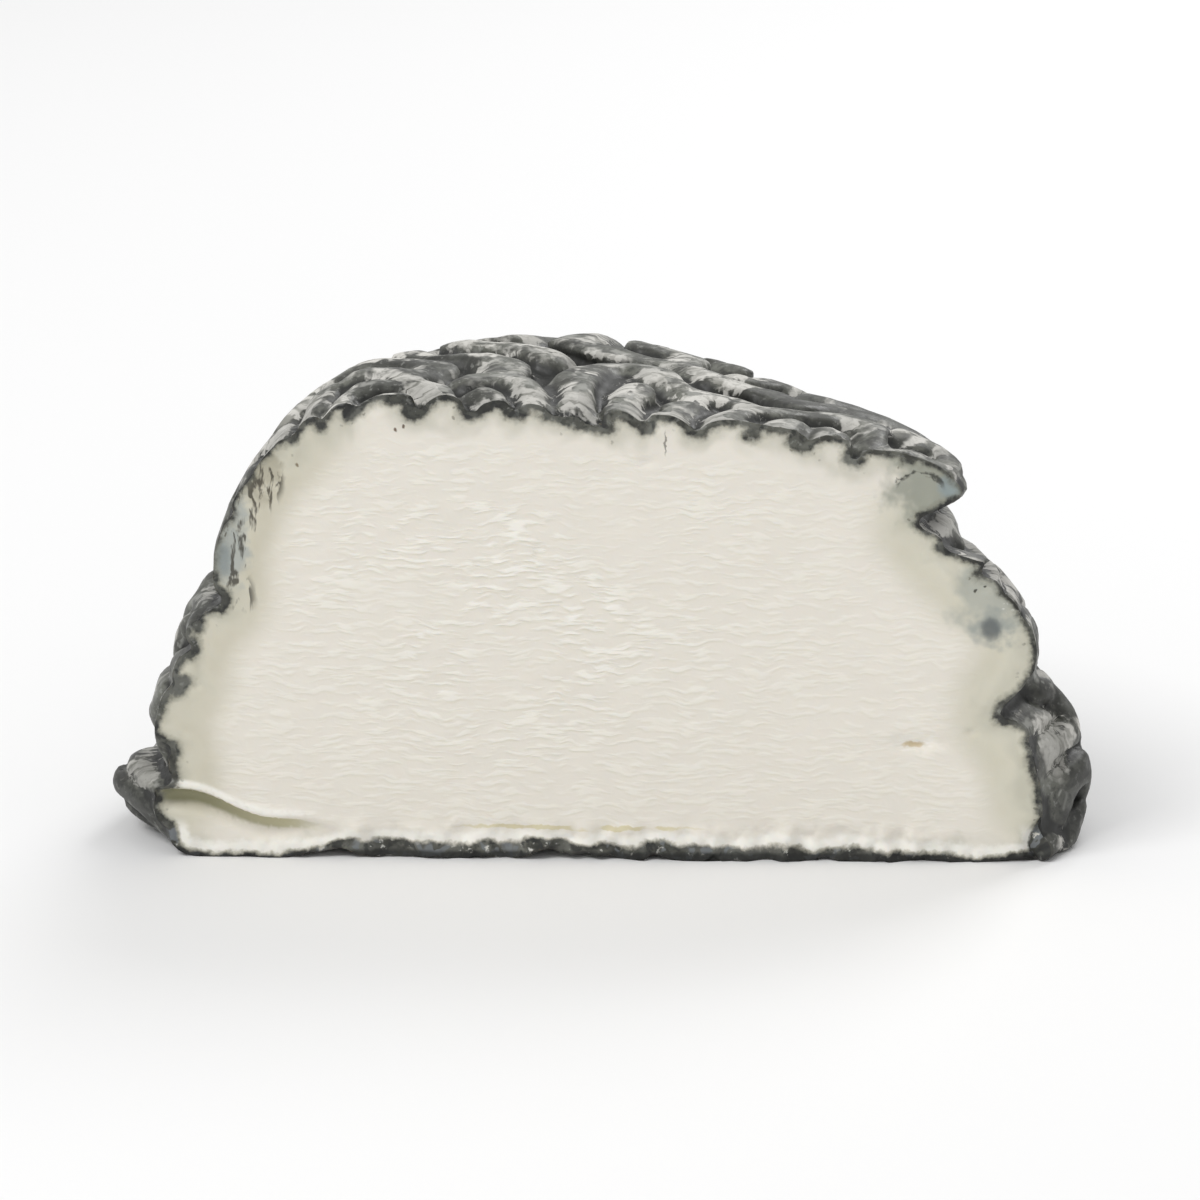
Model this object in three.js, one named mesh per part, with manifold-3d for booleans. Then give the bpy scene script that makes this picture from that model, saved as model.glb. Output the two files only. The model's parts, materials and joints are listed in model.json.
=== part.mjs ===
// Half of a small ash-ripened goat's cheese wheel, cut upright with a knife.
// The wheel is a slumped, truncated cone. Its skin has grown faster than the paste under it, so the
// flank hangs in four stacked rolls with a crease between each pair. The wheel is formed whole and
// then cut just in front of its axis, which leaves one solid with a flat cut face.
// Millimetres, +Z up, origin at the middle of the footprint, cut face towards -Y.
import * as THREE from "three";
import { mergeVertices } from "three/addons/utils/BufferGeometryUtils.js";
import Module from "manifold-3d";

// ---- Driving dimensions -------------------------------------------------------------------------
const CUT_IN_FRONT = 5; // the knife passed this far in front of the wheel's axis
const TOP_MIDDLE = [3.5, 41.9]; // X and Z of the middle of the top, which leans towards +X
const TOP_DOME = 0.9; // the top stands this much higher a third of the way out
const AROUND = 132; // steps round the wheel
const TOP_RINGS = 9; // rings from the middle of the top to the shoulder
const SHOULDER_STEPS = 12; // steps down the shoulder roll
const ROLL_STEPS = 9; // steps down each lower roll

// The flank's outline at five places round the wheel, as [radius, height] from the wheel's axis:
// shoulder: where the top ends, then the two handles of the curve that rolls over to the first crease;
// creases: the three creases from the top down; foot: where the skin meets the table;
// bulges: how far each lower roll stands out from the line between its creases.
const RIGHT = {
  shoulder: [[24, 39.6], [31.5, 38.6], [36.3, 34]],
  creases: [[29.4, 32], [32, 28], [40.2, 15.4]],
  foot: [42.9, 0],
  bulges: [1.3, 2.5, 3.7],
};
const BACK_RIGHT = {
  shoulder: [[22, 39.2], [29, 38.6], [35.2, 32]],
  creases: [[31.6, 29], [34.8, 24.4], [40.4, 13.8]],
  foot: [42.5, 0],
  bulges: [1.3, 1.7, 3],
};
const BACK = {
  shoulder: [[24.5, 41.8], [31, 42], [36.8, 33]],
  creases: [[35, 28.6], [38.5, 21.2], [41.6, 11]],
  foot: [42.1, 0],
  bulges: [1.2, 1.2, 2.5],
};
const BACK_LEFT = {
  shoulder: [[22.5, 42.4], [30.5, 43.2], [36.6, 31.6]],
  creases: [[34.4, 25.4], [38.6, 18.4], [40.2, 8.4]],
  foot: [41.6, 0],
  bulges: [1.7, 1.9, 4],
};
const LEFT = {
  shoulder: [[20, 43.9], [28.4, 44.6], [38.9, 28]],
  creases: [[34, 23.7], [39.4, 16.3], [39.8, 7.5]],
  foot: [41.6, 0],
  bulges: [2.6, 2.8, 5.2],
};
const RIGHT_AND_BACK_TO_LEFT = [RIGHT, BACK_RIGHT, BACK, BACK_LEFT, LEFT, BACK_LEFT, BACK, BACK_RIGHT];

// The creases wander up and down, and the rolls swell and shrink, as they go round.
const CREASE_SWAY = 1.5;
const ROLL_SWELL = 0.35;
const TOP_LUMP = 0.45; // height of the gentle lumps in the top
const TOP_LUMP_WIDTH = 15; // half of one lump's whole wave

// ---- The wheel's outline at any angle -----------------------------------------------------------

// One number that goes smoothly through the stations' values, once round the wheel.
function between(values, angle) {
  const turn = ((angle / (2 * Math.PI)) % 1 + 1) % 1 * values.length;
  const station = Math.floor(turn);
  const [a, b, c, d] = [-1, 0, 1, 2].map(
    (step) => values[(station + step + values.length) % values.length],
  );
  const t = turn - station;
  return b + 0.5 * t * (c - a + t * (2 * a - 5 * b + 4 * c - d + t * (3 * (b - c) + d - a)));
}

function pointBetween(pick, angle) {
  return new THREE.Vector2(
    between(RIGHT_AND_BACK_TO_LEFT.map((station) => pick(station)[0]), angle),
    between(RIGHT_AND_BACK_TO_LEFT.map((station) => pick(station)[1]), angle),
  );
}

// A gentle wander that is nothing at the right and the left of the cut, and differs from crease to crease:
// a slow wave three times round the wheel, with a smaller one seven times round on top of it.
function wander(angle, index) {
  return Math.sin(angle) * (Math.sin(3 * angle + 1.7 * index) + 0.5 * Math.cos(7 * angle - index));
}

// A roll of skin: half an oval that stands out from the line between two creases.
function rollPoints(upper, lower, bulge) {
  const across = lower.clone().sub(upper);
  const out = new THREE.Vector2(-across.y, across.x).normalize();
  const points = [];
  for (let step = 1; step <= ROLL_STEPS; step++) {
    const turn = (Math.PI * step) / ROLL_STEPS;
    const down = 0.5 * (step / ROLL_STEPS) + 0.25 * (1 - Math.cos(turn));
    points.push(upper.clone().addScaledVector(across, down).addScaledVector(out, bulge * Math.sin(turn)));
  }
  return points;
}

// The whole outline at one angle, from the first ring of the top to the foot, as [radius, height].
function outline(angle) {
  const [edge, upperHandle, lowerHandle] = [0, 1, 2].map((i) => pointBetween((s) => s.shoulder[i], angle));
  const creases = [0, 1, 2].map((i) => {
    const crease = pointBetween((s) => s.creases[i], angle);
    crease.y += CREASE_SWAY * wander(angle, i);
    return crease;
  });
  const foot = pointBetween((s) => s.foot, angle);
  const shoulder = new THREE.CubicBezierCurve(edge, upperHandle, lowerHandle, creases[0]);
  const points = shoulder.getPoints(SHOULDER_STEPS);
  [...creases, foot].slice(1).forEach((lower, i) => {
    const bulge = between(RIGHT_AND_BACK_TO_LEFT.map((s) => s.bulges[i]), angle);
    points.push(...rollPoints(creases[i], lower, bulge * (1 + ROLL_SWELL * wander(2 * angle, i))));
  });
  return points;
}

// ---- The whole wheel ----------------------------------------------------------------------------

// Two crossing waves, so that the lumps don't stand in rows.
function topLump(x, y) {
  const [across, back] = [(Math.PI * x) / TOP_LUMP_WIDTH, (Math.PI * y) / TOP_LUMP_WIDTH];
  return TOP_LUMP * (Math.sin(across + 1) * Math.cos(back) + 0.6 * Math.sin(1.5 * back - across));
}

// Rings of vertices from the middle of the top, over the rolls and down to the middle of the base.
function wheelGeometry() {
  const positions = [TOP_MIDDLE[0], 0, TOP_MIDDLE[1] + topLump(TOP_MIDDLE[0], 0)];
  for (let step = 0; step < AROUND; step++) {
    const angle = (2 * Math.PI * step) / AROUND;
    const [edge, ...flank] = outline(angle);
    const edgeAt = [edge.x * Math.cos(angle), edge.x * Math.sin(angle)];
    for (let ring = 1; ring <= TOP_RINGS; ring++) {
      const out = ring / TOP_RINGS;
      const x = TOP_MIDDLE[0] + (edgeAt[0] - TOP_MIDDLE[0]) * out;
      const y = edgeAt[1] * out;
      const dome = TOP_DOME * Math.sin(Math.PI * out) + topLump(x, y) * (1 - out ** 4);
      positions.push(x, y, TOP_MIDDLE[1] + (edge.y - TOP_MIDDLE[1]) * out + dome);
    }
    for (const point of flank) {
      positions.push(point.x * Math.cos(angle), point.x * Math.sin(angle), Math.max(point.y, 0));
    }
  }
  positions.push(0, 0, 0);

  const rows = TOP_RINGS + SHOULDER_STEPS + 3 * ROLL_STEPS;
  const baseMiddle = positions.length / 3 - 1;
  const at = (step, row) => 1 + (step % AROUND) * rows + row;
  const index = [];
  for (let step = 0; step < AROUND; step++) {
    index.push(0, at(step, 0), at(step + 1, 0));
    for (let row = 0; row < rows - 1; row++) {
      const [a, b] = [at(step, row), at(step + 1, row)];
      const [c, d] = [at(step, row + 1), at(step + 1, row + 1)];
      index.push(a, c, d, a, d, b);
    }
    index.push(baseMiddle, at(step + 1, rows - 1), at(step, rows - 1));
  }
  const geometry = new THREE.BufferGeometry();
  geometry.setAttribute("position", new THREE.Float32BufferAttribute(positions, 3));
  geometry.setIndex(index);
  return geometry;
}

// ---- The cut ------------------------------------------------------------------------------------

const SAME_POINT = 1e-4; // vertices closer than this are one
const KNIFE_REACH = 200; // the blade's block is larger than the wheel on every side

const wasm = await Module();
wasm.setup();

function solidFrom(geometry) {
  const bare = geometry.clone();
  bare.deleteAttribute("normal");
  bare.deleteAttribute("uv");
  const merged = mergeVertices(bare, SAME_POINT);
  return new wasm.Manifold(
    new wasm.Mesh({
      numProp: 3,
      vertProperties: merged.attributes.position.array,
      triVerts: new Uint32Array(merged.index.array),
    }),
  );
}

function geometryFrom(solid) {
  const mesh = solid.getMesh();
  const geometry = new THREE.BufferGeometry();
  geometry.setAttribute("position", new THREE.BufferAttribute(mesh.vertProperties, 3));
  geometry.setIndex(new THREE.BufferAttribute(mesh.triVerts, 1));
  geometry.computeVertexNormals();
  return geometry;
}

// Everything in front of the knife's path is taken away.
function cutAway(wheel) {
  const knife = new THREE.BoxGeometry(KNIFE_REACH, KNIFE_REACH, KNIFE_REACH);
  knife.translate(0, -CUT_IN_FRONT - KNIFE_REACH / 2, 0);
  return wheel.subtract(solidFrom(knife));
}

// ---- The part -----------------------------------------------------------------------------------

const halfGeometry = geometryFrom(cutAway(solidFrom(wheelGeometry())));
halfGeometry.computeBoundingBox();
const { min, max } = halfGeometry.boundingBox;

const ashRind = new THREE.MeshStandardMaterial({ color: 0x55564f, roughness: 0.9, metalness: 0 });
const cheeseHalf = new THREE.Mesh(halfGeometry, ashRind);
cheeseHalf.name = "cheese_half";
cheeseHalf.position.set(-(min.x + max.x) / 2, -(min.y + max.y) / 2, -min.z);

const part = new THREE.Group();
part.add(cheeseHalf);

export default part;
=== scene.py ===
# %% [markdown]
# # Half of an ash-ripened goat's cheese
#
# A small, soft goat's cheese is rolled in ash and left to ripen. A skin of mould grows on it faster
# than the paste under it, so the skin folds like the surface of a brain, and a knife has cut the wheel
# in two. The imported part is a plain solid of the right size: here it becomes a cheese.

# %% Load the frame
import itertools
import json
import math
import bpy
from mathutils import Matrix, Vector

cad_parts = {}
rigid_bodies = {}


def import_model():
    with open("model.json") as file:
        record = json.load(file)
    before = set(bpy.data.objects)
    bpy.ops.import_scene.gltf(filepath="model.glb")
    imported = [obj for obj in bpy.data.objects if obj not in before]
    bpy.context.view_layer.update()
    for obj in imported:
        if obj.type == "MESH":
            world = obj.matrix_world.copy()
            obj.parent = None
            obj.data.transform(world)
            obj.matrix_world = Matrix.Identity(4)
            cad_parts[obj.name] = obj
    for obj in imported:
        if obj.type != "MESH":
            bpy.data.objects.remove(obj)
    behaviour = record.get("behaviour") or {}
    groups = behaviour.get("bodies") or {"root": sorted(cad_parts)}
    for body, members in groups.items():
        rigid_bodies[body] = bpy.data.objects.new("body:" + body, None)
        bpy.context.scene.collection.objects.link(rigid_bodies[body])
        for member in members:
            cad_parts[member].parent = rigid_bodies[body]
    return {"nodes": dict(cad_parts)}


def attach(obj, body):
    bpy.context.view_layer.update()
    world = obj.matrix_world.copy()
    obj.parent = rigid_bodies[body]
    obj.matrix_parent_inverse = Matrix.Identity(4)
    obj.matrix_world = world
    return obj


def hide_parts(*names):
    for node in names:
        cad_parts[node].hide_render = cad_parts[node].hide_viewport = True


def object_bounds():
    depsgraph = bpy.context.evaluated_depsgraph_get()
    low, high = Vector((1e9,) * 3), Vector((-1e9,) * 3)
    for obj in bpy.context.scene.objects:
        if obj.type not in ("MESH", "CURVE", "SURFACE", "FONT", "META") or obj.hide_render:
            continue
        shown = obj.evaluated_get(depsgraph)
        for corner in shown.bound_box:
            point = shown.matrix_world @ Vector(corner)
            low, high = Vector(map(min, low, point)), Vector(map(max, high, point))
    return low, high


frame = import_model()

from types import SimpleNamespace

import bpy
import numpy as np
from mathutils import Vector
from mathutils.bvhtree import BVHTree
from mathutils.geometry import delaunay_2d_cdt
from mathutils.kdtree import KDTree

MM = 0.001
cad_low, cad_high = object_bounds()
CUT_PLANE = cad_low.y  # the knife's cut faces -Y
cad_sides = [round(side / MM, 1) for side in cad_high - cad_low]
print(f"the solid is {cad_sides} mm, cut at y = {CUT_PLANE / MM:.2f} mm")

# %% [markdown]
# ## The camera, the light and the table
#
# The cheese is looked at from a little above its top edge, with a long lens, so that the cut face stays
# almost square to the view and only a sliver of the top shows. Big soft lamps give the even light of a
# white studio. The table is a plain disc, wide enough to look endless.

# %% Camera
CAMERA_ROUND = math.radians(1.2)
CAMERA_ABOVE = math.radians(17.5)
CAMERA_AWAY = 420 * MM
CAMERA_LENS = 140.5  # millimetres, as on a lens barrel
CAMERA_AIM = 24.85 * MM  # height of the point it looks at, in the plane of the cut


def put_camera(target):
    camera = bpy.data.objects.new("camera", bpy.data.cameras.new("camera"))
    bpy.context.scene.collection.objects.link(camera)
    camera.data.lens = CAMERA_LENS
    camera.data.clip_start = 10 * MM
    back = Vector((
        math.sin(CAMERA_ROUND) * math.cos(CAMERA_ABOVE),
        -math.cos(CAMERA_ROUND) * math.cos(CAMERA_ABOVE),
        math.sin(CAMERA_ABOVE),
    ))
    camera.location = target + CAMERA_AWAY * back
    camera.rotation_euler = (-back).to_track_quat("-Z", "Y").to_euler()
    bpy.context.scene.camera = camera
    return camera


camera = put_camera(Vector((0, CUT_PLANE, CAMERA_AIM)))
print(f"camera at {[round(c / MM) for c in camera.location]} mm")

# %% Lamps and white surroundings


def put_lamp(name, place, aim, side, watts):
    lamp = bpy.data.objects.new(name, bpy.data.lights.new(name, "AREA"))
    bpy.context.scene.collection.objects.link(lamp)
    lamp.data.size = side
    lamp.data.energy = watts
    lamp.location = place
    lamp.rotation_euler = (Vector(place) - Vector(aim)).to_track_quat("Z", "Y").to_euler()


CHEESE_MIDDLE = (cad_low + cad_high) / 2
put_lamp("window_light", (-0.45, -0.35, 0.7), CHEESE_MIDDLE, side=0.35, watts=3.2)
put_lamp("far_light", (0.3, 0.5, 0.6), CHEESE_MIDDLE, side=0.4, watts=2.5)

room = bpy.data.worlds.new("white_room")
room.use_nodes = True
walls = room.node_tree.nodes["Background"]
walls.inputs["Color"].default_value = (1, 1, 1, 1)
walls.inputs["Strength"].default_value = 0.62
bpy.context.scene.world = room
bpy.context.scene.view_settings.view_transform = "Standard"
print("two lamps in a white room")

# %% Table
TABLE_RADIUS = 3
TABLE_GREY = 0.86


def deselect_all():
    bpy.ops.object.select_all(action="DESELECT")


deselect_all()
bpy.ops.mesh.primitive_circle_add(vertices=96, radius=TABLE_RADIUS, fill_type="NGON", location=(0, 0, 0))
table = bpy.context.object
table.name = "table"
table_finish = bpy.data.materials.new("pale_table")
table_finish.use_nodes = True
table_surface = table_finish.node_tree.nodes["Principled BSDF"]
table_surface.inputs["Base Color"].default_value = (TABLE_GREY, TABLE_GREY, TABLE_GREY, 1)
table_surface.inputs["Roughness"].default_value = 0.7
table.data.materials.append(table_finish)
print(f"a table {2 * TABLE_RADIUS} m wide")

# %% [markdown]
# ## Small tools for reading a mesh
#
# Skin folds are too free to place by hand, so a few steps below move vertices in code, as a sculptor's
# brush would. These helpers turn a mesh into arrays of numbers and back, and spread a value from each
# vertex to its neighbours.

# %% Arrays from a mesh and back


def places_of(mesh):
    places = np.empty(3 * len(mesh.vertices))
    mesh.vertices.foreach_get("co", places)
    return places.reshape(-1, 3)


def normals_of(mesh):
    normals = np.empty(3 * len(mesh.vertices))
    mesh.vertex_normals.foreach_get("vector", normals)
    return normals.reshape(-1, 3)


def edges_of(mesh):
    ends = np.empty(2 * len(mesh.edges), int)
    mesh.edges.foreach_get("vertices", ends)
    return ends.reshape(-1, 2)


def move_vertices(mesh, places):
    mesh.vertices.foreach_set("co", places.ravel())
    mesh.update()


def keep_value(mesh, name, values):
    layer = mesh.attributes.get(name) or mesh.attributes.new(name, "FLOAT", "POINT")
    layer.data.foreach_set("value", values.astype(np.float32))


def kept_value(mesh, name):
    values = np.empty(len(mesh.vertices), np.float32)
    mesh.attributes[name].data.foreach_get("value", values)
    return values.astype(float)


def spread(values, ends, rounds):
    """Averages every vertex with its neighbours, again and again, as dye spreads in cloth."""
    count = len(values)
    neighbours = np.bincount(ends.ravel(), minlength=count)
    for _ in range(rounds):
        total = np.bincount(ends[:, 0], values[ends[:, 1]], count)
        total += np.bincount(ends[:, 1], values[ends[:, 0]], count)
        values = 0.5 * (values + total / neighbours)
    return values


def ease(low, high, values):
    """0 below low, 1 above high, and a smooth slope between."""
    part = np.clip((values - low) / (high - low), 0, 1)
    return part * part * (3 - 2 * part)


print(f"the solid has {len(places_of(frame['nodes']['cheese_half'].data))} vertices")

# %% Soft random lumps
LATTICE = 48  # random numbers along each side of a block, which repeats


def lumps(places, size, seed):
    """Smooth random lumps about size metres across, from -1 to 1."""
    lattice = np.random.default_rng(seed).uniform(-1, 1, (LATTICE,) * 3)
    scaled = places / size
    cell = np.floor(scaled).astype(int)
    part = ease(0, 1, scaled - cell)
    total = np.zeros(len(places))
    for corner in itertools.product((0, 1), repeat=3):
        share = np.prod(np.where(corner, part, 1 - part), axis=1)
        total += share * lattice[tuple(((cell + corner) % LATTICE).T)]
    return total


steps_along = np.column_stack([np.arange(5) * MM, np.zeros(5), np.zeros(5)])
print(f"lumps 3 mm wide, read at steps of 1 mm: {lumps(steps_along, 3 * MM, 1).round(2)}")

# %% [markdown]
# ## A bare body to grow the skin on
#
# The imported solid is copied, its loose triangles are merged, and its cut face is pulled a few
# millimetres forward. The skin can then fold straight across the place where the knife goes, as it did
# on the whole wheel. A voxel remesh turns the long facets into a net of even squares: folds grown on
# an uneven net would come out uneven too.

# %% Copy the solid and pull out its cut face
OVERRUN = 5 * MM
GROWTH_NET = 0.6 * MM

deselect_all()
cheese = frame["nodes"]["cheese_half"].copy()
cheese.data = cheese.data.copy()
cheese.name = "ash_ripened_cheese_half"
cheese.parent = None
for key in list(cheese.keys()):
    del cheese[key]  # the solid's own notes aren't true of the copy
bpy.context.scene.collection.objects.link(cheese)
cheese.data.materials.clear()
cheese.select_set(True)
bpy.context.view_layer.objects.active = cheese


def open_all():
    """Opens edit mode with everything selected."""
    bpy.ops.object.mode_set(mode="EDIT")
    bpy.ops.mesh.select_all(action="SELECT")


def select_faces(test):
    """Selects the faces whose middle and normal pass the test, and leaves edit mode open."""
    bpy.ops.object.mode_set(mode="EDIT")
    bpy.ops.mesh.select_mode(type="FACE")
    bpy.ops.mesh.select_all(action="DESELECT")
    bpy.ops.object.mode_set(mode="OBJECT")
    for face in cheese.data.polygons:
        face.select = test(face.center, face.normal)
    bpy.ops.object.mode_set(mode="EDIT")


open_all()
bpy.ops.mesh.remove_doubles(threshold=0.001 * MM)
select_faces(lambda middle, normal: middle.y < CUT_PLANE + 0.01 * MM and normal.y < -0.9)
bpy.ops.mesh.extrude_region_move(TRANSFORM_OT_translate={"value": (0, -OVERRUN, 0)})
bpy.ops.object.mode_set(mode="OBJECT")
print(f"{len(cheese.data.vertices)} vertices in the merged copy")

# %% Remesh to an even net


def remesh(net):
    voxels = cheese.modifiers.new("even_net", "REMESH")
    voxels.mode = "VOXEL"
    voxels.voxel_size = net
    bpy.ops.object.modifier_apply(modifier=voxels.name)


remesh(GROWTH_NET)
open_all()
bpy.ops.mesh.vertices_smooth(factor=0.5, repeat=4)
bpy.ops.object.mode_set(mode="OBJECT")
print(f"{len(cheese.data.polygons)} squares of about {GROWTH_NET / MM} mm")

# %% [markdown]
# ## Gentler rolls at the back
#
# Beside the cut the big rolls of skin stand out sharply. Further round they had room to spread, so there
# the body is drawn towards a much smoother copy of itself. The foot and the edge of the top stay as
# they are.

# %% Soften the rolls away from the cut
SOFTEN_STEPS = 110
SOFTEN_SHARE = 0.7


def spread_vectors(vectors, ends, rounds):
    return np.column_stack([spread(vectors[:, axis], ends, rounds) for axis in range(3)])


body = places_of(cheese.data)
smooth_body = spread_vectors(body, edges_of(cheese.data), SOFTEN_STEPS)
behind = ease(CUT_PLANE + 5 * MM, CUT_PLANE + 16 * MM, body[:, 1])
on_flank = ease(1 * MM, 9 * MM, body[:, 2]) * (1 - ease(36 * MM, 39 * MM, body[:, 2]))
softened = (SOFTEN_SHARE * behind * on_flank)[:, None] * (smooth_body - body)
move_vertices(cheese.data, body + softened)
print(f"the rolls are softened by up to {np.linalg.norm(softened, axis=1).max() / MM:.1f} mm")

# %% [markdown]
# ## Skin that wraps round the edge of the cut
#
# The knife bent the soft flanks inwards before it went through them, so on both sides some skin turns
# the corner and shows beside the cut face: most at the feet, least at the shoulders. The vertices near
# the cut are drawn in towards the middle, by an amount that depends on their height, and the draw fades
# out a few millimetres behind the cut. At each foot a round lobe is squeezed out as well.

# %% Draw the flanks in at the cut
DRAW_FADE = 9 * MM
# Heights, and how far the skin is drawn in there, both in millimetres. Below 0 it stands out instead.
DRAW_LEFT = [(0, 3.2), (2.5, 5), (5.5, 4.6), (8, 1.1), (10, 1.5), (14, 1.4), (17, 0.1), (20, 1.6),
             (24, 0), (26, -0.4), (37, -0.4), (40, 0), (44, 0)]
DRAW_RIGHT = [(0, 3.5), (3, 5.6), (9, 5.2), (12.6, 4.6), (14.2, 5.4), (15.8, 3), (18, 0.6), (21, -0.3),
              (26, -0.9), (27.4, -1.9), (28.7, -2.3), (29.5, -0.4), (30.2, 1), (31.2, 1), (32.3, 2.6),
              (33.5, 1), (34.5, -0.3), (37.5, -0.4), (40, 0)]
# Round lobes squeezed out at the feet: middle, reach and push to the right, in millimetres.
FOOT_LOBES = [((42, CUT_PLANE / MM + 3, 1.6), 4.2, 3.2), ((-43.5, CUT_PLANE / MM + 4, 5.5), 4, -1.4)]


def drawn_in(places):
    """How far each place moves towards the middle, in metres."""
    height = places[:, 2] / MM
    left, right = (np.interp(height, *zip(*profile)) for profile in (DRAW_LEFT, DRAW_RIGHT))
    amount = np.where(places[:, 0] < 0, left, -right) * MM
    near_cut = 1 - ease(CUT_PLANE + 0.5 * MM, CUT_PLANE + DRAW_FADE, places[:, 1])
    move = amount * near_cut * ease(12 * MM, 27 * MM, np.abs(places[:, 0]))
    for middle, reach, push in FOOT_LOBES:
        away = np.linalg.norm(places / MM - middle, axis=1) / reach
        move += push * MM * np.exp(-away ** 2)
    return move


body = places_of(cheese.data)
shift = drawn_in(body)
body[:, 0] += shift
move_vertices(cheese.data, body)
print(f"the flanks are drawn in by up to {np.abs(shift).max() / MM:.1f} mm")

# %% [markdown]
# ## Growing the folds
#
# Every vertex starts with a random number. Again and again, each number is pulled up by its near
# neighbours and held down by those further off, and kept between -1 and 1. Out of the noise come long
# winding ridges, all about the same width: this is how the folds of a real mould skin, or of a brain,
# find their places. A slight pull downwards breaks the ridges into worms, so that the creases between
# them join up in a net. Hollows of the body are held down more, and the deep creases between the rolls
# of skin stay creases.

# %% Ridges and creases out of noise
FOLD_TURNS = 60
NEAR_STEPS = 6
FAR_STEPS = 13
TOP_NEAR_STEPS = 13  # the folds on the top are broader
TOP_FAR_STEPS = 28
FOLD_GAIN = 1.7
FOLD_PULL = 0.14
HOLLOW_PULL = 0.35


def hollowness(mesh, ends):
    """How hollow the body is at each vertex: above 0 in a crease, 0 everywhere else."""
    places = places_of(mesh)
    middle = spread_vectors(places, ends, 6)
    hollow = ((middle - places) * normals_of(mesh)).sum(1)
    hollow = spread(hollow, ends, 6)
    return np.clip(hollow / hollow.std(), 0, 2.5)


body_net = edges_of(cheese.data)
hollow = hollowness(cheese.data, body_net)
folds = np.random.default_rng(5).normal(size=len(cheese.data.vertices))
body = places_of(cheese.data)
broad_folds = ease(0.55, 0.9, spread(normals_of(cheese.data)[:, 2], body_net, 10))
broad_folds *= ease(CUT_PLANE + 2 * MM, CUT_PLANE + 7 * MM, body[:, 1])


def ridges(values, near_steps, far_steps):
    near = spread(values, body_net, near_steps)
    band = near - spread(near, body_net, far_steps)
    return band / band.std()


for turn in range(FOLD_TURNS):
    narrow = ridges(folds, NEAR_STEPS, FAR_STEPS)
    broad = ridges(folds, TOP_NEAR_STEPS, TOP_FAR_STEPS)
    band = narrow + broad_folds * (broad - narrow)
    folds = np.tanh(FOLD_GAIN * band - FOLD_PULL - HOLLOW_PULL * hollow)
keep_value(cheese.data, "fold", folds)
keep_value(cheese.data, "hollow", hollow)
print(f"{(folds > 0).mean():.0%} of the skin is ridge")

# %% [markdown]
# ## From numbers to folds of skin
#
# The net is halved so that a fold can have a round back. The highest numbers mark the spine of each
# fold and the lowest the bottoms of the creases. A vertex's share of the way from the nearest spine to
# the nearest crease says how far down the flank it is. The skin falls away along a quarter of a circle,
# level at first and then steep, until it meets the next fold in a sharp crease. Its flanks also lean out
# over the crease, as swollen skin does. Where two flanks meet they close on each other, and the skin
# between them disappears inside. On the top the folds lie more like scales: one side of each slopes
# gently, and the other hangs over the next fold.

# %% Measure from spine to crease
SPINE_LEVEL = 0.7
CREASE_LEVEL = -0.7
TOP_CREASE_LEVEL = -0.8  # the creases on the top are narrower

open_all()
bpy.ops.mesh.subdivide(number_cuts=1, smoothness=0)
bpy.ops.object.mode_set(mode="OBJECT")

fine_net = edges_of(cheese.data)
places = places_of(cheese.data)
normals = normals_of(cheese.data)


def tree_of(points):
    tree = KDTree(len(points))
    for order, point in enumerate(points):
        tree.insert(point, order)
    tree.balance()
    return tree


normals = spread_vectors(normals, fine_net, 4)
normals /= np.linalg.norm(normals, axis=1)[:, None]
wave = spread(kept_value(cheese.data, "fold"), fine_net, 3)
spines = places[wave > SPINE_LEVEL]
on_top = ease(0.45, 0.85, normals[:, 2])
creases = places[wave < CREASE_LEVEL + on_top * (TOP_CREASE_LEVEL - CREASE_LEVEL)]
spine_tree = tree_of(spines)
crease_tree = tree_of(creases)
found = [spine_tree.find(place) for place in places]
from_spine = places - np.array([tuple(point) for point, order, distance in found])
spine_distance = np.array([distance for point, order, distance in found])
crease_distance = np.array([crease_tree.find(place)[2] for place in places])
down_flank = spine_distance / np.maximum(spine_distance + crease_distance, 0.05 * MM)
down_flank = spread(down_flank, fine_net, 1)
print(f"{len(spines)} vertices lie on spines and {len(creases)} in creases; "
      f"folds are up to {2 * (spine_distance + crease_distance).max() / MM:.1f} mm wide")

# %% Which side of its fold a vertex lies on
SIDE_WIDTH = 13 * MM  # the gentle, pale side of the folds turns over about this distance
CREST_SHARE = 0.14  # this part of the skin, the highest on the folds, is crest


def downhill(values, points, ends):
    """The direction in which a value falls fastest along the surface, one unit long."""
    step = points[ends[:, 1]] - points[ends[:, 0]]
    step *= (values[ends[:, 0]] - values[ends[:, 1]])[:, None]
    slope = np.column_stack([np.bincount(ends[:, 0], step[:, axis], len(points))
                             + np.bincount(ends[:, 1], step[:, axis], len(points)) for axis in range(3)])
    return slope / np.maximum(np.linalg.norm(slope, axis=1), 1e-12)[:, None]


drift = np.column_stack([lumps(places, SIDE_WIDTH, seed) for seed in (41, 42, 43)])
drift /= np.linalg.norm(drift, axis=1)[:, None]
side = (downhill(spread(wave, fine_net, 4), places, fine_net) * drift).sum(1)
side = np.clip(3 * spread(side, fine_net, 1), -1, 1)

crest_points = places[wave > np.quantile(wave, 1 - CREST_SHARE)]
crest_tree = tree_of(crest_points)
crest_of = np.array([tuple(crest_tree.find(place)[0]) for place in places])
print(f"{(side > 0).mean():.0%} of the skin lies on the gentle side of its fold")

# %% How deep the folds are at each place
UNDERSIDE_SHARE = 0.35  # the underside was flattened by the cheese's own weight
TOP_SHARE = 0.8
HOLLOW_SHARE = 0.5
UNEVEN_DEPTH = 0.6

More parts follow.
